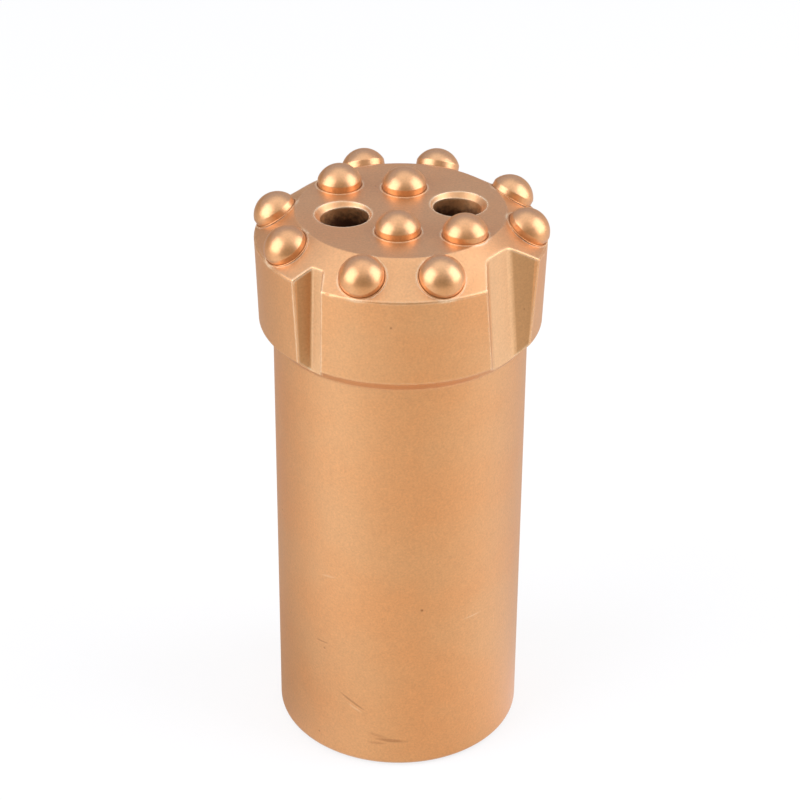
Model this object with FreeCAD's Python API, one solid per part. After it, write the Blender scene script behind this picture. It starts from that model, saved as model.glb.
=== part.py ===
"""Threaded button bit for top-hammer rock drilling.

One machined steel body (head, skirt and left-hand rope-thread socket) holds twelve domed
carbide buttons, pressed into drilled seats: eight on the gauge bevel and four on the flat face.
Millimetres, +Z up. The origin is the centre of the skirt's open end, on which the bit stands.
Bearings are in degrees from -Y towards +X, and the layout repeats after half a turn.
"""
import FreeCAD, Part
import math
import os

from FreeCAD import Vector

# ---- head and skirt
bit_length = 129.8  # skirt end to flat face
head_length = 25.5  # lower edge of the head to flat face
skirt_dia = 56.0
head_overhang = 3.75  # how far the foot of the bevel stands out from the skirt
head_back_taper = 0.65  # what the head's radius loses down to its lower edge
bevel_rise = 5.8  # height of the gauge bevel
bevel_deg = 33.0  # slope of the gauge bevel
shoulder_deg = 45.0  # slope of the head's underside
skirt_end_round = 1.8
shoulder_round = 1.0  # where the underside meets the skirt
low_round = 0.6  # lower edge of the head
rim_round = 0.6  # foot of the bevel
face_round = 0.5  # edge of the flat face

# ---- rock-chip grooves: each is a V with a flat floor, and its mate lies half a turn on
wide_bearing = 51.2
wide_angle = 105.0
wide_floor = 7.4  # width of the floor, before its corners are rounded
wide_corner_round = 2.6
wide_depth = 5.4  # at the foot of the bevel
wide_stand = 0.1  # floor over the skirt, at the head's lower edge
narrow_bearing = -38.4
narrow_angle = 66.0
narrow_floor = 2.8
narrow_corner_round = 0.7
narrow_depth = 3.9
narrow_stand = 0.5
lip_round = 0.4  # along both lips of every groove

# ---- buttons
button_dia = 9.6
dome_radius = 5.2
dome_edge_round = 0.6
button_stand = 4.6  # how far a button stands out of its seat
button_shank = 9.5  # how deep it is seated
button_foot_chamfer = 0.8
seat_clearance = 0.01  # radial, between button and seat
seat_mouth_chamfer = 0.25
gauge_bearings = (-17.0, 18.0, 82.5, 118.0)
inner_front_share = 0.4645  # of the flat face's radius; the outer ones reach its edge
inner_front_bearing = -3.5
outer_front_bearing = 48.5

# ---- flushing ways
flush_bore_dia = 10.3
flush_mouth_dia = 12.4
flush_mouth_deg = 45.0  # half angle of the countersink
flush_share = 0.5544  # distance of each mouth from the axis, of the flat face's radius
flush_bearing = 101.7
flush_tilt_deg = 16.0
channel_dia = 16.0  # central way, up from the socket's floor
channel_length = 15.0
channel_point_deg = 59.0  # half angle of the drill point

# ---- threaded socket
thread_crest_dia = 34.6
thread_depth = 2.15
thread_pitch = 15.9
thread_flank_deg = 35.0  # flank to axis
thread_root_flat = 4.4
thread_runout = 1.0  # plain length past the thread's last cut
socket_depth = 80.0
lead_in_length = 10.0
plain_clearance = 0.4  # plain bores over the thread's root, radial
mouth_chamfer = 1.6

HALF_TURN = 180.0
OVERCUT = 2.0  # how far a cutter starts outside the steel
ON_SURFACE = 1e-4


def sin(deg):
    return math.sin(math.radians(deg))


def cos(deg):
    return math.cos(math.radians(deg))


def tan(deg):
    return math.tan(math.radians(deg))


# ---- places worked out from the sizes above
skirt_radius = skirt_dia / 2
head_radius = skirt_radius + head_overhang
low_radius = head_radius - head_back_taper
rim_z = bit_length - bevel_rise
low_z = bit_length - head_length
flat_radius = head_radius - bevel_rise / tan(bevel_deg)
shoulder_z = low_z - (low_radius - skirt_radius) * tan(shoulder_deg)
button_radius = button_dia / 2
seat_radius = button_radius + seat_clearance
crest_radius = thread_crest_dia / 2
root_radius = crest_radius + thread_depth
plain_radius = root_radius + plain_clearance
crest_half_gap = thread_root_flat / 2 + thread_depth / tan(thread_flank_deg)
relief_length = 2 * (crest_half_gap + thread_runout)


def outward(bearing):
    """Unit vector from the axis at a bearing."""
    return Vector(sin(bearing), -cos(bearing), 0)


def rounded_loop(points, rounds):
    """Closed wire through the points, each corner rounded by an arc of its own radius."""
    edges, ends = [], []
    for i, (here, radius) in enumerate(zip(points, rounds)):
        before, after = points[i - 1], points[(i + 1) % len(points)]
        if radius == 0:
            ends.append((here, here))
            continue
        to_before, to_after = (before - here).normalize(), (after - here).normalize()
        half = to_before.getAngle(to_after) / 2
        start = here + to_before * (radius / math.tan(half))
        end = here + to_after * (radius / math.tan(half))
        bisector = (to_before + to_after).normalize()
        middle = here + bisector * (radius / math.sin(half) - radius)
        edges.append(Part.Arc(start, middle, end).toShape())
        ends.append((start, end))
    for i, (start, _) in enumerate(ends):
        edges.append(Part.LineSegment(ends[i - 1][1], start).toShape())
    return Part.Wire(Part.__sortEdges__(edges))


def rounded_outline(corners):
    """Rounded loop in the XZ plane through (radius, z, round) corners."""
    points = [Vector(x, 0, z) for x, z, _ in corners]
    return rounded_loop(points, [radius for _, _, radius in corners])


def turned(wire):
    """Solid of revolution about Z."""
    return Part.Face(wire).revolve(Vector(0, 0, 0), Vector(0, 0, 1), 360)


def turned_in_quarters(wire):
    """Solid of revolution about Z whose faces each go a quarter of the way round."""
    quarters = []
    for start in (45, 135, 225, 315):
        profile = Part.Face(wire)
        profile.rotate(Vector(0, 0, 0), Vector(0, 0, 1), start)
        quarters.append(profile.revolve(Vector(0, 0, 0), Vector(0, 0, 1), 90))
    return quarters[0].fuse(quarters[1:])


def body_blank():
    """The turned body before its grooves and holes: skirt, underside, back taper, bevel and face."""
    return turned(rounded_outline([
        (0, 0, 0),
        (skirt_radius, 0, skirt_end_round),
        (skirt_radius, shoulder_z, shoulder_round),
        (low_radius, low_z, low_round),
        (head_radius, rim_z, rim_round),
        (flat_radius, bit_length, face_round),
        (0, bit_length, 0),
    ]))


def groove_cutter(bearing, angle, floor, corner_round, depth, stand):
    """Flat-bottomed V along the head, its floor sloping outwards to die out over the skirt."""
    rim_floor = head_radius - depth
    slope = (skirt_radius + stand - rim_floor) / (rim_z - low_z)
    top_z, drop = bit_length + OVERCUT, head_length + 2 * OVERCUT + low_z - shoulder_z
    top_floor = rim_floor - slope * (top_z - rim_z)
    mouth = head_radius + OVERCUT
    half_floor = floor / 2
    half_mouth = half_floor + (mouth - top_floor) * tan(angle / 2)
    out, side = outward(bearing), outward(bearing + 90)

    def place(along, across):
        return out * along + side * across + Vector(0, 0, top_z)

    corners = [
        place(top_floor, -half_floor),
        place(top_floor, half_floor),
        place(mouth, half_mouth),
        place(mouth, -half_mouth),
    ]
    section = Part.Face(rounded_loop(corners, [corner_round, corner_round, 0, 0]))
    return section.extrude(out * (slope * drop) - Vector(0, 0, drop))


def on_shell(point, solid):
    """Is the point on the solid's surface?"""
    return Part.Vertex(point).distToShape(solid.Shells[0])[0] < ON_SURFACE


def grooved_body():
    """The blank with its four grooves, and a small round along their lips."""
    blank = body_blank()
    wide = (wide_angle, wide_floor, wide_corner_round, wide_depth, wide_stand)
    narrow = (narrow_angle, narrow_floor, narrow_corner_round, narrow_depth, narrow_stand)
    body = blank
    lips = []
    for turn in (0, HALF_TURN):
        for bearing, sizes in ((wide_bearing, wide), (narrow_bearing, narrow)):
            cutter = groove_cutter(bearing + turn, *sizes)
            body = body.cut(cutter)
            lips.append(cutter)
    edges = []
    for edge in body.Edges:
        middle = edge.valueAt((edge.FirstParameter + edge.LastParameter) / 2)
        if on_shell(middle, blank) and any(on_shell(middle, cutter) for cutter in lips):
            edges.append(edge)
    return body.makeFillet(lip_round, edges)


def socket_cutter():
    """Hollow of the socket: mouth chamfer, lead-in, thread crests, relief and central channel."""
    channel_radius = channel_dia / 2
    point_z = socket_depth + channel_length
    step = plain_radius - crest_radius
    relief_z = socket_depth - relief_length
    return turned_in_quarters(rounded_outline([
        (0, -OVERCUT, 0),
        (plain_radius + mouth_chamfer + OVERCUT, -OVERCUT, 0),
        (plain_radius, mouth_chamfer, 0),
        (plain_radius, lead_in_length, 0),
        (crest_radius, lead_in_length + step, 0),
        (crest_radius, relief_z - step, 0),
        (plain_radius, relief_z, 0),
        (plain_radius, socket_depth, 0),
        (channel_radius, socket_depth, 0),
        (channel_radius, point_z, 0),
        (0, point_z + channel_radius / tan(channel_point_deg), 0),
    ]))


def thread_cutter():
    """Left-hand rope thread: a flat-bottomed helical cut that runs out into lead-in and relief."""
    inset = thread_runout * tan(thread_flank_deg) / 2
    inner_radius = crest_radius - inset
    inner_half = crest_half_gap + inset / tan(thread_flank_deg)
    start_z = lead_in_length - crest_half_gap - thread_runout
    end_z = socket_depth - crest_half_gap - thread_runout
    path = Part.makeLongHelix(thread_pitch, end_z - start_z, root_radius, 0, True)
    corners = [
        Vector(root_radius, 0, -thread_root_flat / 2),
        Vector(root_radius, 0, thread_root_flat / 2),
        Vector(inner_radius, 0, inner_half),
        Vector(inner_radius, 0, -inner_half),
    ]
    profile = Part.makePolygon(corners + corners[:1])
    groove = Part.Wire(path).makePipeShell([profile], True, True)
    groove.translate(Vector(0, 0, start_z))
    return groove


def flush_cutter(bearing):
    """Inclined flushing bore, from the flat face into the channel, with an upright countersink."""
    mouth = outward(bearing) * flat_radius * flush_share + Vector(0, 0, bit_length)
    up = outward(bearing) * sin(flush_tilt_deg) + Vector(0, 0, cos(flush_tilt_deg))
    length = (bit_length - socket_depth - channel_length + channel_dia / 4) / cos(flush_tilt_deg)
    start = mouth + up * OVERCUT
    bore = Part.makeCylinder(flush_bore_dia / 2, length + OVERCUT, start, up * -1)
    radius = flush_mouth_dia / 2
    sink = radius / tan(flush_mouth_deg)
    rise = Vector(0, 0, OVERCUT)
    wide_end = radius + OVERCUT * tan(flush_mouth_deg)
    countersink = Part.makeCone(wide_end, 0, sink + OVERCUT, mouth + rise, Vector(0, 0, -1))
    return bore.fuse(countersink)


def button_seats():
    """Name, centre of the mouth and outward axis of every seat."""
    bevel_middle = (flat_radius + head_radius) / 2
    front_places = (
        (flat_radius * inner_front_share, inner_front_bearing),
        (flat_radius - button_radius, outer_front_bearing),
    )
    gauge, front = [], []
    for turn in (0, HALF_TURN):
        for bearing in gauge_bearings:
            out = outward(bearing + turn)
            centre = out * bevel_middle + Vector(0, 0, (bit_length + rim_z) / 2)
            axis = out * sin(bevel_deg) + Vector(0, 0, cos(bevel_deg))
            gauge.append((f"gauge_button_{len(gauge) + 1}", centre, axis))
        for distance, bearing in front_places:
            centre = outward(bearing + turn) * distance + Vector(0, 0, bit_length)
            front.append((f"front_button_{len(front) + 1}", centre, Vector(0, 0, 1)))
    return gauge + front


def seat_cutter(centre, axis):
    """Drilled seat with a flat floor and a lightly broken mouth."""
    foot = centre - axis * button_shank
    bore = Part.makeCylinder(seat_radius, button_shank + OVERCUT, foot, axis)
    start = centre - axis * seat_mouth_chamfer
    wide_end = seat_radius + seat_mouth_chamfer + OVERCUT
    mouth = Part.makeCone(seat_radius, wide_end, seat_mouth_chamfer + OVERCUT, start, axis)
    return bore.fuse(mouth)


def button(centre, axis):
    """Carbide button: chamfered foot, plain shank and a spherical dome with a rounded edge."""
    dome_centre = Vector(0, 0, button_stand - dome_radius)
    edge_x = button_radius - dome_edge_round
    edge_rise = math.sqrt((dome_radius - dome_edge_round) ** 2 - edge_x**2)
    edge_centre = dome_centre + Vector(edge_x, 0, edge_rise)
    to_edge = (edge_centre - dome_centre).normalize()
    shank_top = edge_centre + Vector(dome_edge_round, 0, 0)
    edge_middle = edge_centre + (to_edge + Vector(1, 0, 0)).normalize() * dome_edge_round
    dome_foot = dome_centre + to_edge * dome_radius
    dome_middle = dome_centre + (to_edge + Vector(0, 0, 1)).normalize() * dome_radius
    top = Vector(0, 0, button_stand)
    foot_centre = Vector(0, 0, -button_shank)
    foot_edge = Vector(button_radius - button_foot_chamfer, 0, -button_shank)
    shank_foot = Vector(button_radius, 0, button_foot_chamfer - button_shank)
    solid = turned(Part.Wire([
        Part.LineSegment(foot_centre, foot_edge).toShape(),
        Part.LineSegment(foot_edge, shank_foot).toShape(),
        Part.LineSegment(shank_foot, shank_top).toShape(),
        Part.Arc(shank_top, edge_middle, dome_foot).toShape(),
        Part.Arc(dome_foot, dome_middle, top).toShape(),
        Part.LineSegment(top, foot_centre).toShape(),
    ]))
    solid.Placement = FreeCAD.Placement(centre, FreeCAD.Rotation(Vector(0, 0, 1), axis))
    return solid


def bit_body(seats):
    """The steel body: grooved blank, socket, thread, flushing ways and button seats."""
    cutters = [socket_cutter(), thread_cutter()]
    cutters += [flush_cutter(flush_bearing + turn) for turn in (0, HALF_TURN)]
    cutters += [seat_cutter(centre, axis) for _, centre, axis in seats]
    body = grooved_body()
    for cutter in cutters:
        body = body.cut(cutter)
    return body


def main():
    os.makedirs("parts", exist_ok=True)
    seats = button_seats()
    bit_body(seats).exportStep("parts/bit_body.step")
    for name, centre, axis in seats:
        button(centre, axis).exportStep(f"parts/{name}.step")


main()
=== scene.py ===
"""Looks of the button bit: its paint, the rings round its button seats, the studio and the camera.

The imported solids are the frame. Every size here is in millimetres until a mesh is finished, and the
bearings run in degrees from -Y towards +X, as they do in the solids' own source.
"""

import logging
import math
from dataclasses import dataclass
from enum import Enum

import bmesh
import bpy
from mathutils import Matrix, Vector


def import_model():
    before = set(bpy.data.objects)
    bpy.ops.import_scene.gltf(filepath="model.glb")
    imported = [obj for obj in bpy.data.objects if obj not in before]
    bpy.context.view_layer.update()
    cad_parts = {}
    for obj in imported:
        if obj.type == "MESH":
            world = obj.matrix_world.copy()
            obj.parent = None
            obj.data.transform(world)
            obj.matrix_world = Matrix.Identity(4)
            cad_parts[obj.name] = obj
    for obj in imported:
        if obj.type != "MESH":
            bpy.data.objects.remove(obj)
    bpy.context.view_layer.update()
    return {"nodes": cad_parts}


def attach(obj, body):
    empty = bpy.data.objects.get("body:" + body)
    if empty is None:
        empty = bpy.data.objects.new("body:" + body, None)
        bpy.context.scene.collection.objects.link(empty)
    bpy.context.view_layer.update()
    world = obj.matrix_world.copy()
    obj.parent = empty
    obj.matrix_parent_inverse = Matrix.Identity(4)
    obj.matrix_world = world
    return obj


MM = 0.001
LOG = logging.getLogger("button_bit")
Colour = tuple[float, float, float]
Range = tuple[float, float]
Socket = bpy.types.NodeSocket


def outward(bearing: float) -> Vector:
    """Unit vector from the bit's axis at a bearing in degrees."""
    return Vector((math.sin(math.radians(bearing)), -math.cos(math.radians(bearing)), 0.0))


class Graph:
    """Adds the nodes of one material or world and links them."""

    def __init__(self, tree: bpy.types.NodeTree) -> None:
        """Start from an empty tree."""
        tree.nodes.clear()
        self.tree = tree

    def put(self, kind: str, inputs: dict | None = None, **settings: object) -> bpy.types.Node:
        """Add a node.

        Args:
            kind: the node's type, such as ShaderNodeMath.
            inputs: input name or number to a value, or to the socket that feeds it.
            settings: properties of the node.

        Returns:
            The new node.
        """
        node = self.tree.nodes.new(kind)
        for name, value in settings.items():
            setattr(node, name, value)
        for key, value in (inputs or {}).items():
            if isinstance(value, Socket):
                self.tree.links.new(value, node.inputs[key])
            else:
                node.inputs[key].default_value = value
        return node

    def sum(self, operation: str, *values: object, clamp: bool = False) -> Socket:
        """Work out one number.

        Args:
            operation: a Math node operation.
            values: its operands, numbers or sockets.
            clamp: keep the result between 0 and 1.

        Returns:
            The result's socket.
        """
        inputs = dict(enumerate(values))
        node = self.put("ShaderNodeMath", inputs, operation=operation, use_clamp=clamp)
        return node.outputs[0]

    def fade(self, value: Socket, start: float, end: float) -> Socket:
        """Smooth step.

        Args:
            value: what is measured.
            start: where the result is 0.
            end: where the result is 1. It may be below start.

        Returns:
            The result's socket.
        """
        inputs = {0: value, 1: start, 2: end, 3: 0.0, 4: 1.0}
        node = self.put("ShaderNodeMapRange", inputs, interpolation_type="SMOOTHSTEP")
        return node.outputs[0]

    def blend(self, share: object, low: object, high: object) -> Socket:
        """Mix two colours.

        Args:
            share: how much of high there is.
            low: colour or socket at 0.
            high: colour or socket at 1.

        Returns:
            The mixed colour's socket.
        """
        inputs = {}
        for key, value in ((0, share), (6, low), (7, high)):
            inputs[key] = (*value, 1.0) if isinstance(value, tuple) else value
        node = self.put("ShaderNodeMix", inputs, data_type="RGBA")
        return node.outputs[2]

    def noise(self, place: Socket, size: float, detail: float) -> Socket:
        """Cloudy pattern from 0 to 1.

        Args:
            place: coordinates in millimetres.
            size: rough size of a cloud, in millimetres.
            detail: octaves.

        Returns:
            The pattern's socket.
        """
        inputs = {"Vector": place, "Scale": 1 / size, "Detail": detail, "Roughness": 0.55}
        return self.put("ShaderNodeTexNoise", inputs).outputs["Fac"]

    def level(self, place: Socket) -> Socket:
        """A place or direction with its height dropped."""
        inputs = {0: place, 1: (1.0, 1.0, 0.0)}
        return self.put("ShaderNodeVectorMath", inputs, operation="MULTIPLY").outputs[0]


@dataclass(frozen=True)
class Mark:
    """One scratch or speck on the outside: an ellipse on the unrolled surface, in millimetres."""

    bearing: float
    height: float
    length: float
    width: float
    slant: float
    bite: float
    pale: bool = False

    def mask(self, graph: Graph, place: Socket, radius: float) -> Socket:
        """Draw the mark.

        Args:
            graph: the material's nodes.
            place: unrolled coordinates: arc, height and radius.
            radius: the surface's radius where the mark is.

        Returns:
            The mark's strength, from 0 outside it to its bite inside.
        """
        centre = Vector((math.radians(self.bearing) * radius, self.height, radius))
        turn = Matrix.Rotation(math.radians(-self.slant), 3, "Z")
        half = Vector((self.length / 2, self.width / 2, 2.0))
        shift = turn @ centre
        offset = tuple(-shift[i] / half[i] for i in range(3))
        turned = graph.put("ShaderNodeMapping", {
            "Vector": place,
            "Rotation": (0.0, 0.0, math.radians(-self.slant)),
        })
        inputs = {0: turned.outputs[0], 1: tuple(1 / value for value in half), 2: offset}
        fitted = graph.put("ShaderNodeVectorMath", inputs, operation="MULTIPLY_ADD")
        away = graph.put("ShaderNodeVectorMath", {0: fitted.outputs[0]}, operation="LENGTH")
        return graph.sum("MULTIPLY", graph.fade(away.outputs["Value"], 1.0, 0.35), self.bite)


@dataclass(frozen=True)
class BronzePaint:
    """Satin gold-bronze paint over blasted metal, pale along the edges where it is rubbed thin and
    where a painted highlight stands for the edges catching the light; painted shade darkens its
    crevices.
    """

    name: str
    colour: Colour = (0.74, 0.39, 0.165)
    warm: Colour = (0.76, 0.37, 0.145)
    # Pale cream of rubbed paint, also used for the painted edge highlight.
    worn_and_glint: Colour = (1.0, 0.84, 0.56)
    # Dark brown for painted shade in crevices, and for the dark specks and scratches.
    shade_and_nick: Colour = (0.30, 0.12, 0.04)
    metallic: float = 0.82
    bare_metallic: float = 0.25
    roughness: float = 0.40
    roughness_swing: float = 0.08
    grain_size: float = 0.46
    grain_depth: float = 0.014
    edge_width: float = 1.5
    crevice_reach: float = 0.9
    crevice_shade: float = 0.7
    coat: float = 0.25
    speck_size: float = 9.0
    cloud_size: float = 22.0
    cloud_range: Range = (0.35, 0.7)
    mottle_size: float = 2.6
    mottle_shade: float = 0.10
    grain_shade: float = 0.36
    edge_range: Range = (0.945, 0.89)
    edge_patches: Range = (0.15, 0.50)
    crevice_range: Range = (0.62, 0.25)
    speck_range: Range = (0.04, 0.015)
    speck_bite: float = 0.6
    nick_shade: float = 0.75
    bare_roughness: float = 0.12
    coat_roughness: float = 0.3
    marks: tuple[Mark, ...] = ()
    mark_radius: float = 28.0

    def coordinates(self, graph: Graph) -> Socket:
        """Place on the object, in millimetres."""
        place = graph.put("ShaderNodeTexCoord").outputs["Object"]
        inputs = {0: place, "Scale": 1 / MM}
        return graph.put("ShaderNodeVectorMath", inputs, operation="SCALE").outputs[0]

    def edge_wear_and_glint(self, graph: Graph, patches: Socket) -> Socket:
        """Where the surface turns sharply, the paint is thin and pale: rubbed paint, and also a
        painted highlight along the rounded edges.

        Args:
            graph: the material's nodes.
            patches: a cloudy pattern that breaks the wear up.

        Returns:
            Paleness, from 0 to 1: rubbed paint and painted highlight together.
        """
        # Pale along sharp edges: rubbed paint, and a painted highlight where the rounded edges would
        # catch the light.
        softened = graph.put("ShaderNodeBevel", {"Radius": self.edge_width * MM}, samples=6)
        true = graph.put("ShaderNodeNewGeometry").outputs["Normal"]
        inputs = {0: softened.outputs[0], 1: true}
        alike = graph.put("ShaderNodeVectorMath", inputs, operation="DOT_PRODUCT").outputs["Value"]
        sharp = graph.fade(alike, *self.edge_range)
        uneven = graph.fade(patches, *self.edge_patches)
        return graph.sum("MULTIPLY", sharp, uneven)

    def specks(self, graph: Graph, place: Socket) -> Socket:
        """Small dark specks scattered over the paint."""
        inputs = {"Vector": place, "Scale": 1 / self.speck_size}
        distance = graph.put("ShaderNodeTexVoronoi", inputs).outputs["Distance"]
        return graph.sum("MULTIPLY", graph.fade(distance, *self.speck_range), self.speck_bite)

    def marked(
        self, graph: Graph, place: Socket, pattern: Socket, pale: bool
    ) -> Socket:
        """Add this finish's own marks of one kind to a pattern.

        Args:
            graph: the material's nodes.
            place: coordinates in millimetres.
            pattern: what the marks are added to, from 0 to 1.
            pale: the pale marks, where paint is rubbed thin, or else the dark ones.

        Returns:
            The pattern with the marks.
        """
        kind = [mark for mark in self.marks if mark.pale == pale]
        flat = self.unrolled(graph, place) if kind else place
        for mark in kind:
            pattern = graph.sum("MAXIMUM", pattern, mark.mask(graph, flat, self.mark_radius))
        return pattern

    def unrolled(self, graph: Graph, place: Socket) -> Socket:
        """Arc length from bearing 0, height and radius, for marks on the skirt.

        Args:
            graph: the material's nodes.
            place: coordinates in millimetres.

        Returns:
            The unrolled coordinates' socket.
        """
        split = graph.put("ShaderNodeSeparateXYZ", {0: place}).outputs
        back = graph.sum("MULTIPLY", split[1], -1.0)
        bearing = graph.sum("ARCTAN2", split[0], back)
        radius = self.from_axis(graph, place)
        parts = {0: graph.sum("MULTIPLY", bearing, self.mark_radius), 1: split[2], 2: radius}
        return graph.put("ShaderNodeCombineXYZ", parts).outputs[0]

    def from_axis(self, graph: Graph, place: Socket) -> Socket:
        """Distance from the bit's axis, in millimetres."""
        length = graph.put("ShaderNodeVectorMath", {0: graph.level(place)}, operation="LENGTH")
        return length.outputs["Value"]

    def painted(
        self, graph: Graph, place: Socket, paint: Socket
    ) -> Socket:
        """Paint's tone before grain, rubbed edges and their painted highlight. A plain finish has the
        same all over.
        """
        return paint

    def under_paint(
        self, graph: Graph, place: Socket, paint: Socket
    ) -> tuple[Socket, Socket]:
        """Colour where there is no paint. A plain finish is painted all over.

        Args:
            graph: the material's nodes.
            place: coordinates in millimetres; not used here.
            paint: the painted colour.

        Returns:
            The colour, and the share of the surface that is bare.
        """
        return paint, graph.put("ShaderNodeValue").outputs[0]

    def tone(
        self, graph: Graph, place: Socket, mottle: Socket, grain: Socket, wear_and_glint: Socket, nicks: Socket
    ) -> Socket:
        """Colour of the painted surface.

        Args:
            graph: the material's nodes.
            place: coordinates in millimetres.
            mottle: cloudy pattern a few millimetres across.
            grain: the blasted grain.
            wear_and_glint: paleness of rubbed paint and of the painted edge highlight, from 0 to 1.
            nicks: how dark the specks and scratches are, from 0 to 1.

        Returns:
            The colour's socket.
        """
        clouds = graph.noise(place, self.cloud_size, 3.0)
        paint = graph.blend(graph.fade(clouds, *self.cloud_range), self.colour, self.warm)
        paint = self.painted(graph, place, paint)
        shade = graph.sum("MULTIPLY_ADD", mottle, self.mottle_shade, 1 - self.mottle_shade / 2)
        speckle = graph.sum("MULTIPLY_ADD", grain, self.grain_shade, 1 - self.grain_shade / 2)
        inputs = {0: paint, "Scale": graph.sum("MULTIPLY", shade, speckle)}
        paint = graph.put("ShaderNodeVectorMath", inputs, operation="SCALE").outputs[0]
        paint = graph.blend(wear_and_glint, paint, self.worn_and_glint)
        # Painted shade in crevices, from ambient occlusion.
        inputs = {"Distance": self.crevice_reach * MM}
        open_share = graph.put("ShaderNodeAmbientOcclusion", inputs, samples=6).outputs["AO"]
        painted_shade = graph.fade(open_share, *self.crevice_range)
        paint = graph.blend(graph.sum("MULTIPLY", painted_shade, self.crevice_shade), paint, self.shade_and_nick)
        return graph.blend(graph.sum("MULTIPLY", nicks, self.nick_shade), paint, self.shade_and_nick)

    def relief(self, graph: Graph, mottle: Socket, grain: Socket, nicks: Socket) -> Socket:
        """Fine bumps of grain and mottle, with the nicks sunk in.

        Args:
            graph: the material's nodes.
            mottle: cloudy pattern a few millimetres across.
            grain: the blasted grain.
            nicks: where specks and scratches are, from 0 to 1.

        Returns:
            The surface normal's socket.
        """
        height = graph.sum("MULTIPLY_ADD", mottle, 0.6, grain)
        height = graph.sum("MULTIPLY_ADD", nicks, -6.0, height)
        inputs = {"Strength": 1.0, "Distance": self.grain_depth * MM, "Height": height}
        return graph.put("ShaderNodeBump", inputs).outputs[0]

    def make(self) -> bpy.types.Material:
        """Build the material."""
        material = bpy.data.materials.new(self.name)
        material.use_nodes = True
        graph = Graph(material.node_tree)
        place = self.coordinates(graph)
        mottle = graph.noise(place, self.mottle_size, 4.0)
        grain = graph.noise(place, self.grain_size, 2.0)
        wear_and_glint = self.marked(graph, place, self.edge_wear_and_glint(graph, mottle), True)
        nicks = self.marked(graph, place, self.specks(graph, place), False)
        paint = self.tone(graph, place, mottle, grain, wear_and_glint, nicks)
        colour, bare = self.under_paint(graph, place, paint)
        smoothest = self.roughness - self.roughness_swing / 2
        rough = graph.sum("MULTIPLY_ADD", mottle, self.roughness_swing, smoothest)
        rough = graph.sum("MULTIPLY_ADD", bare, self.bare_roughness, rough)
        # Less metallic where pale, so the rubbed paint and its painted highlight show cream.
        lost = self.bare_metallic - self.metallic
        shader = graph.put("ShaderNodeBsdfPrincipled", {
            "Base Color": colour,
            "Metallic": graph.sum("MULTIPLY_ADD", wear_and_glint, lost, self.metallic),
            "Roughness": rough,
            "Normal": self.relief(graph, mottle, grain, nicks),
            "Coat Weight": self.coat,
            "Coat Roughness": self.coat_roughness,
        })
        graph.put("ShaderNodeOutputMaterial", {"Surface": shader.outputs[0]})
        return material


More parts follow.
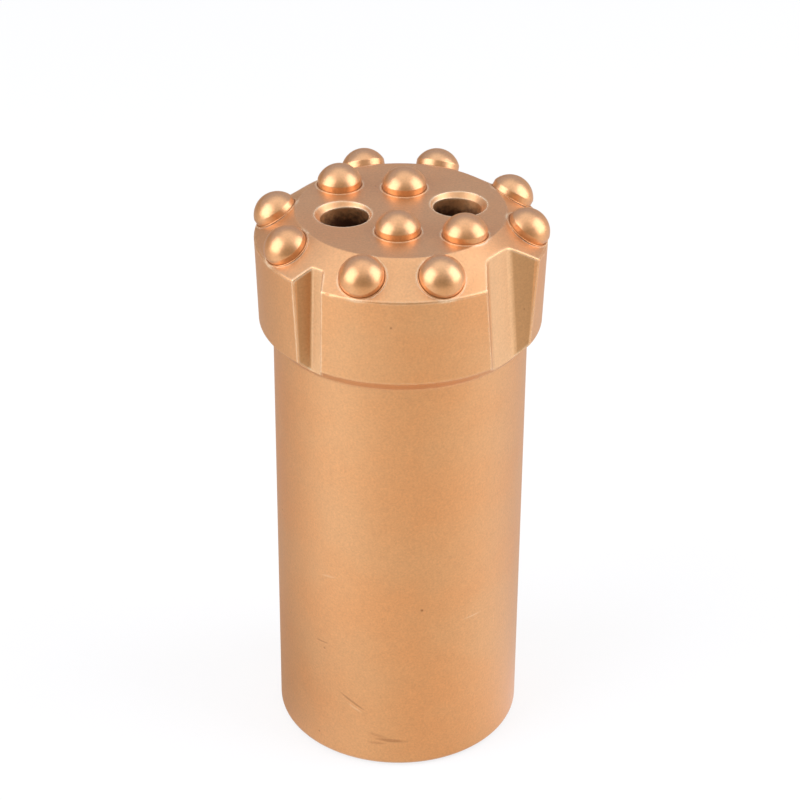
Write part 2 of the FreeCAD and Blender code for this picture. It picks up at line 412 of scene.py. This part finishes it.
@dataclass(frozen=True)
class BodyPaint(BronzePaint):
    """The body's paint, which thins out to bare steel inside the holes, darkened deeper in as painted
    shade; the grooves get painted shade and sheen.
    """

    # Almost black: bare steel deep in the holes, darkened as painted shade.
    steel: Colour = (0.032, 0.025, 0.022)
    rust: Colour = (0.16, 0.068, 0.032)
    hole_radius: float = 20.6
    top: float = 129.8
    overspray: float = 5.0
    # Painted shade for the grooves' walls and a paler painted sheen for their floors.
    groove_wall_shade: Colour = (0.57, 0.305, 0.125)
    groove_floor_sheen: Colour = (0.80, 0.47, 0.225)
    head_profile: tuple[Range, ...] = (
        (28.0, 101.2), (31.1, 104.3), (31.75, 124.0), (22.819, 129.8),
    )
    cut_range: Range = (0.12, 0.35)
    cut_inside: Range = (23.2, 23.8)
    facing_range: Range = (0.60, 0.88)
    ragged_size: float = 1.4
    ragged_reach: float = 6.0

    def milled(self, graph: Graph, place: Socket) -> Socket:
        """Where the head is milled below its turned outside, as in the rock-chip grooves.

        Args:
            graph: the material's nodes.
            place: coordinates in millimetres.

        Returns:
            1 in the grooves, 0 elsewhere.
        """
        height = graph.put("ShaderNodeSeparateXYZ", {0: place}).outputs[2]
        outside = 100.0
        for (low_radius, low), (high_radius, high) in zip(self.head_profile, self.head_profile[1:]):
            inputs = {0: height, 1: low, 2: high, 3: low_radius, 4: high_radius}
            line = graph.put("ShaderNodeMapRange", inputs).outputs[0]
            outside = graph.sum("MINIMUM", outside, line)
        radius = self.from_axis(graph, place)
        cut = graph.fade(graph.sum("SUBTRACT", outside, radius), *self.cut_range)
        return graph.sum("MULTIPLY", cut, graph.fade(radius, *self.cut_inside))

    def painted(
        self, graph: Graph, place: Socket, paint: Socket
    ) -> Socket:
        """The grooves' walls get painted shade and their floors a paler painted sheen.

        Args:
            graph: the material's nodes.
            place: coordinates in millimetres.
            paint: the tone of the rest.

        Returns:
            The tone's socket.
        """
        away = graph.put("ShaderNodeVectorMath", {0: graph.level(place)}, operation="NORMALIZE")
        true = graph.put("ShaderNodeNewGeometry").outputs["Normal"]
        inputs = {0: away.outputs[0], 1: true}
        facing = graph.put("ShaderNodeVectorMath", inputs, operation="DOT_PRODUCT").outputs["Value"]
        outwards = graph.fade(facing, *self.facing_range)
        # Painted shade on the walls, paler painted sheen on the floors.
        groove_shade_and_sheen = graph.blend(outwards, self.groove_wall_shade, self.groove_floor_sheen)
        return graph.blend(self.milled(graph, place), paint, groove_shade_and_sheen)

    def under_paint(
        self, graph: Graph, place: Socket, paint: Socket
    ) -> tuple[Socket, Socket]:
        """Paint reaches only a few millimetres into the holes; deeper in, the bare steel darkens to
        almost black as painted shade.

        Args:
            graph: the material's nodes.
            place: coordinates in millimetres.
            paint: the painted colour.

        Returns:
            The colour, and the share of the surface that is bare.
        """
        inner = graph.fade(self.from_axis(graph, place), self.hole_radius + 0.3, self.hole_radius)
        height = graph.put("ShaderNodeSeparateXYZ", {0: place}).outputs[2]
        patches = graph.noise(place, self.ragged_size, 3.0)
        ragged = graph.sum("MULTIPLY_ADD", patches, self.ragged_reach, -self.ragged_reach / 2)
        from_top = graph.sum("ADD", graph.sum("SUBTRACT", self.top, height), ragged)
        from_foot = graph.sum("ADD", height, ragged)
        depth = graph.sum("MINIMUM", from_top, from_foot)
        deep = graph.fade(depth, 1.2, self.overspray)
        bare = graph.sum("MULTIPLY", inner, deep)
        # From rust brown by the mouth to almost black deeper in: painted shade over bare steel.
        rust_by_mouth = graph.fade(depth, self.overspray * 2.2, self.overspray * 0.8)
        metal = graph.blend(rust_by_mouth, self.steel, self.rust)
        return graph.blend(bare, paint, metal), bare


class Seat(Enum):
    """Where a button sits."""

    GAUGE = "gauge_button"
    FRONT = "front_button"


@dataclass
class SeatRings:
    """A thin raised ring of steel and paint round the foot of every button."""

    button_radius: float = 4.8
    gap: float = 0.02
    width: float = 0.28
    height: float = 0.10
    sink: float = 0.15
    flat_radius: float = 22.819
    head_radius: float = 31.75
    face_height: float = 129.8
    bevel_rise: float = 5.8
    bevel_deg: float = 33.0
    gauge_bearings: tuple[float, ...] = (-17.0, 18.0, 82.5, 118.0)
    front_places: tuple[tuple[float, float], ...] = ((10.6, -3.5), (18.019, 48.5))

    def seats(self) -> list[tuple[str, Vector, Vector]]:
        """Ring name, seat centre and outward axis of every button, in the solids' order."""
        gauge, front = [], []
        middle = (self.flat_radius + self.head_radius) / 2
        slope = math.radians(self.bevel_deg)
        for turn in (0.0, 180.0):
            for bearing in self.gauge_bearings:
                out = outward(bearing + turn)
                centre = out * middle + Vector((0, 0, self.face_height - self.bevel_rise / 2))
                axis = out * math.sin(slope) + Vector((0, 0, math.cos(slope)))
                gauge.append((f"gauge_ring_{len(gauge) + 1}", centre, axis))
            for distance, bearing in self.front_places:
                centre = outward(bearing + turn) * distance + Vector((0, 0, self.face_height))
                front.append((f"front_ring_{len(front) + 1}", centre, Vector((0, 0, 1))))
        return gauge + front

    def ring(self, name: str, centre: Vector, axis: Vector) -> bpy.types.Object:
        """Turn one ring and put it in its place.

        Args:
            name: the piece's name.
            centre: centre of the seat's mouth.
            axis: the seat's outward axis.

        Returns:
            The ring's object, at the origin.
        """
        inner = self.button_radius + self.gap
        section = ((inner, -self.sink), (inner + self.width, -self.sink), (inner + self.width, 0.0),
                   (inner + self.width / 2, self.height), (inner, 0.0))
        mesh = bmesh.new()
        corners = [mesh.verts.new((x, 0.0, z)) for x, z in section]
        loop = [mesh.edges.new((corners[i - 1], corners[i])) for i in range(len(corners))]
        bmesh.ops.spin(mesh, geom=corners + loop, cent=(0, 0, 0), axis=(0, 0, 1), dvec=(0, 0, 0),
                       angle=math.tau, steps=72, use_merge=True, use_duplicate=False)
        bmesh.ops.recalc_face_normals(mesh, faces=mesh.faces)
        turn = Vector((0, 0, 1)).rotation_difference(axis).to_matrix().to_4x4()
        seat = Matrix.Scale(MM, 4) @ Matrix.Translation(centre) @ turn
        bmesh.ops.transform(mesh, matrix=seat, verts=mesh.verts)
        data = bpy.data.meshes.new(name)
        mesh.to_mesh(data)
        mesh.free()
        for face in data.polygons:
            face.use_smooth = True
        piece = bpy.data.objects.new(name, data)
        bpy.context.scene.collection.objects.link(piece)
        return piece

    def build(self, paint: bpy.types.Material) -> None:
        """Make, paint and attach every ring."""
        for name, centre, axis in self.seats():
            piece = self.ring(name, centre, axis)
            piece.data.materials.append(paint)
            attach(piece, "root")
            LOG.info("made %s", name)


@dataclass
class PaintedSolids:
    """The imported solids, which keep their shapes and get their paint."""

    nodes: dict[str, bpy.types.Object]

    def dress(self, prefix: str, paint: bpy.types.Material) -> None:
        """Paint every node whose name starts with the prefix."""
        for name, solid in self.nodes.items():
            if name.startswith(prefix):
                for slot in solid.material_slots:
                    slot.material = paint
                LOG.info("painted %s", name)


@dataclass
class Softbox:
    """A soft area lamp that stands round the bit and faces it."""

    name: str
    bearing: float
    elevation: float
    distance: float
    width: float
    height: float
    power: float
    tint: Colour = (0.97, 1.0, 1.15)

    def place(self, aim: Vector) -> None:
        """Hang the lamp.

        Args:
            aim: the point it faces, in metres.
        """
        lamp = bpy.data.lights.new(self.name, "AREA")
        lamp.shape = "RECTANGLE"
        lamp.size = self.width
        lamp.size_y = self.height
        lamp.energy = self.power
        lamp.color = self.tint
        holder = bpy.data.objects.new(self.name, lamp)
        rise = math.radians(self.elevation)
        away = outward(self.bearing) * math.cos(rise) + Vector((0, 0, math.sin(rise)))
        holder.location = aim + away * self.distance
        holder.rotation_euler = away.to_track_quat("Z", "Y").to_euler()
        bpy.context.scene.collection.objects.link(holder)


@dataclass
class Studio:
    """White floor, pale surroundings with a greyer wall, and two wide soft lamps.

    In the metal the floor shows painted light towards the lamps, and painted shade far off in front,
    behind to the left and round the bit's foot.
    """

    floor_size: float = 6.0
    floor_shadow: float = 0.25
    white: Colour = (1.0, 1.0, 1.0)
    zenith: Colour = (1.15, 1.25, 1.50)
    wall: Colour = (0.42, 0.49, 0.72)
    front: Colour = (0.25, 0.21, 0.16)
    floor_dim: Colour = (0.71, 0.60, 0.50)
    floor_lit: Colour = (1.05, 1.08, 1.18)
    dark: Colour = (0.30, 0.20, 0.12)
    dark_sides: tuple[tuple[float, float], ...] = ((-135.0, 0.95), (140.0, 0.45))
    dark_spread: float = 2.0
    lit_sides: tuple[float, ...] = (-58.0, 90.0)
    lit_spread: float = 3.5
    wall_rise: Range = (0.10, 0.50)
    zenith_rise: Range = (0.70, 0.95)
    front_rise: Range = (0.40, 1.25)
    front_width: Range = (0.60, 0.96)
    front_start: Range = (-0.35, -1.1)
    foot_reach: Range = (0.11, 0.04)
    foot_bearing: float = -110.0
    ambient: float = 0.70
    softboxes: tuple[Softbox, ...] = (
        Softbox("left_softbox", -65.0, 30.0, 0.9, 0.82, 0.9, 6.2),
        Softbox("right_softbox", 83.0, 30.0, 0.9, 0.78, 0.9, 5.8),
    )

    def seen(self, graph: Graph) -> Socket:
        """1 for what is looked at directly, in a gloss or through glass, and 0 for soft light."""
        path = graph.put("ShaderNodeLightPath").outputs
        shown = graph.sum("MAXIMUM", path["Is Camera Ray"], path["Is Glossy Ray"])
        return graph.sum("MAXIMUM", shown, path["Is Transmission Ray"])

    def towards(self, graph: Graph, place: Socket, bearing: float) -> Socket:
        """How nearly a place lies towards a bearing: 1 straight ahead, 0 square to it or behind."""
        unit = graph.put("ShaderNodeVectorMath", {0: graph.level(place)}, operation="NORMALIZE")
        inputs = {0: unit.outputs[0], 1: tuple(outward(bearing))}
        along = graph.put("ShaderNodeVectorMath", inputs, operation="DOT_PRODUCT").outputs["Value"]
        return graph.sum("MAXIMUM", along, 0.0)

    def low_tone(self, graph: Graph, place: Socket) -> Socket:
        """Tone of the floor and of what stands low round it, as the metal reflects it: painted light
        and shade, not the floor's own lighting.

        Args:
            graph: the material's or world's nodes.
            place: the position or direction looked at.

        Returns:
            The colour's socket.
        """
        # Painted light on the floor towards the lamps.
        light = 0.0
        for bearing in self.lit_sides:
            lobe = graph.sum("POWER", self.towards(graph, place, bearing), self.lit_spread)
            light = graph.sum("ADD", light, lobe, clamp=True)
        tone = graph.blend(light, self.floor_dim, self.floor_lit)
        # Painted shade far off in front.
        ahead = graph.put("ShaderNodeSeparateXYZ", {0: place}).outputs[1]
        tone = graph.blend(graph.fade(ahead, *self.front_start), tone, self.front)
        # Painted shade behind to the left and, less, behind to the right.
        for bearing, share in self.dark_sides:
            lobe = graph.sum("POWER", self.towards(graph, place, bearing), self.dark_spread)
            tone = graph.blend(graph.sum("MULTIPLY", lobe, share), tone, self.dark)
        # Painted shadow of the bit round its foot, towards the left.
        away = graph.put("ShaderNodeVectorMath", {0: place}, operation="LENGTH").outputs["Value"]
        side = self.towards(graph, place, self.foot_bearing)
        painted_foot_shadow = graph.sum("MULTIPLY", graph.fade(away, *self.foot_reach), side)
        tone = graph.blend(painted_foot_shadow, tone, self.dark)
        camera = graph.put("ShaderNodeLightPath").outputs["Is Camera Ray"]
        return graph.blend(camera, tone, self.white)

    def surroundings(self) -> None:
        """The floor's tone low down, pale overhead, a greyer wall between, and dark in front."""
        world = bpy.data.worlds.new("studio")
        world.use_nodes = True
        graph = Graph(world.node_tree)
        direction = graph.put("ShaderNodeTexCoord").outputs["Generated"]
        rise = graph.put("ShaderNodeSeparateXYZ", {0: direction}).outputs[2]
        low = self.low_tone(graph, direction)
        tone = graph.blend(graph.fade(rise, *self.wall_rise), low, self.wall)
        tone = graph.blend(graph.fade(rise, *self.zenith_rise), tone, self.zenith)
        ahead = graph.blend(graph.fade(rise, *self.front_rise), self.front, self.zenith)
        share = graph.fade(self.towards(graph, direction, 0.0), *self.front_width)
        tone = graph.blend(share, tone, ahead)
        camera = graph.put("ShaderNodeLightPath").outputs["Is Camera Ray"]
        tone = graph.blend(camera, tone, self.white)
        soft = graph.put("ShaderNodeBackground", {"Color": (1, 1, 1, 1), "Strength": self.ambient})
        shown = graph.put("ShaderNodeBackground", {"Color": tone, "Strength": 1.0})
        inputs = {0: self.seen(graph), 1: soft.outputs[0], 2: shown.outputs[0]}
        both = graph.put("ShaderNodeMixShader", inputs)
        graph.put("ShaderNodeOutputWorld", {"Surface": both.outputs[0]})
        bpy.context.scene.world = world

    def floor(self) -> None:
        """A wide pale floor that keeps the bit's shadow."""
        mesh = bmesh.new()
        bmesh.ops.create_grid(mesh, x_segments=1, y_segments=1, size=self.floor_size / 2)
        data = bpy.data.meshes.new("floor")
        mesh.to_mesh(data)
        mesh.free()
        plane = bpy.data.objects.new("floor", data)
        bpy.context.scene.collection.objects.link(plane)
        material = bpy.data.materials.new("pale_floor")
        material.use_nodes = True
        graph = Graph(material.node_tree)
        matt = graph.put("ShaderNodeBsdfDiffuse", {"Color": (0.9, 0.9, 0.9, 1.0)})
        place = graph.put("ShaderNodeNewGeometry").outputs
        # Seen directly the floor is white; in reflections it shows the painted tones of low_tone, and
        # its matt share keeps the real shadow.
        tone = self.low_tone(graph, place["Position"])
        shown = graph.put("ShaderNodeEmission", {"Color": tone, "Strength": 1.0})
        share = graph.sum("MULTIPLY", self.seen(graph), 1 - self.floor_shadow)
        inputs = {0: share, 1: matt.outputs[0], 2: shown.outputs[0]}
        both = graph.put("ShaderNodeMixShader", inputs)
        clear = graph.put("ShaderNodeBsdfTransparent")
        inputs = {0: place["Backfacing"], 1: both.outputs[0], 2: clear.outputs[0]}
        under = graph.put("ShaderNodeMixShader", inputs)
        graph.put("ShaderNodeOutputMaterial", {"Surface": under.outputs[0]})
        data.materials.append(material)

    def build(self) -> None:
        """Set up the floor, the surroundings and the lamps."""
        bpy.context.scene.view_settings.view_transform = "Standard"
        self.surroundings()
        self.floor()
        for softbox in self.softboxes:
            softbox.place(Vector((0, 0, 0.09)))
            LOG.info("hung %s", softbox.name)


@dataclass
class Viewpoint:
    """The camera, in front of the bit and well above it."""

    aim: tuple[float, float, float] = (0.034, 0.0, 82.04)
    distance: float = 557.9
    elevation: float = 30.88
    roll: float = 0.40
    lens: float = 111.87

    def build(self) -> None:
        """Make the camera and use it."""
        rise, roll = math.radians(self.elevation), math.radians(self.roll)
        back = Vector((0, -math.cos(rise), math.sin(rise)))
        level = Vector((1, 0, 0))
        up = Vector((0, math.sin(rise), math.cos(rise)))
        across = level * math.cos(roll) + up * math.sin(roll)
        upright = up * math.cos(roll) - level * math.sin(roll)
        data = bpy.data.cameras.new("camera")
        data.lens = self.lens
        data.sensor_width = 36.0
        camera = bpy.data.objects.new("camera", data)
        turn = Matrix((across, upright, back)).transposed().to_4x4()
        camera.matrix_world = Matrix.Translation((Vector(self.aim) + back * self.distance) * MM) @ turn
        bpy.context.scene.collection.objects.link(camera)
        bpy.context.scene.camera = camera


SKIRT_MARKS = (
    Mark(bearing=-22.0, height=17.1, length=9.6, width=0.8, slant=-30.0, bite=0.6),
    Mark(bearing=-20.5, height=15.4, length=5.0, width=0.7, slant=-28.0, bite=0.18, pale=True),
    Mark(bearing=-3.5, height=7.4, length=9.0, width=1.3, slant=-4.0, bite=0.6),
    Mark(bearing=-9.5, height=8.6, length=6.5, width=1.2, slant=-14.0, bite=0.3),
    Mark(bearing=-10.0, height=6.4, length=6.0, width=1.0, slant=2.0, bite=0.35),
    Mark(bearing=-38.2, height=31.2, length=4.6, width=0.6, slant=2.0, bite=0.5),
    Mark(bearing=-36.8, height=29.6, length=0.9, width=0.8, slant=0.0, bite=0.6),
    Mark(bearing=36.5, height=39.0, length=6.5, width=0.5, slant=2.0, bite=0.22, pale=True),
    Mark(bearing=-34.0, height=50.0, length=5.0, width=0.7, slant=8.0, bite=0.15, pale=True),
    Mark(bearing=10.8, height=43.9, length=0.9, width=0.85, slant=0.0, bite=0.9),
)


def main() -> None:
    """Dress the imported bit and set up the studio."""
    logging.basicConfig(level=logging.INFO, format="%(message)s")
    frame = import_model()
    body_paint = BodyPaint("body_paint", marks=SKIRT_MARKS).make()
    # The buttons get a wider painted shade round their feet.
    button_paint = BronzePaint(
        "button_paint", roughness=0.33, grain_depth=0.006, edge_width=0.05, coat=0.5,
        crevice_reach=2.4, crevice_shade=0.6,
    ).make()
    ring_paint = BronzePaint(
        "ring_paint", colour=(0.70, 0.37, 0.155), edge_width=0.05, crevice_shade=0.3,
    ).make()
    solids = PaintedSolids(frame["nodes"])
    solids.dress("bit_body", body_paint)
    for seat in Seat:
        solids.dress(seat.value, button_paint)
    SeatRings().build(ring_paint)
    Studio().build()
    Viewpoint().build()


if __name__ == "__main__":
    main()
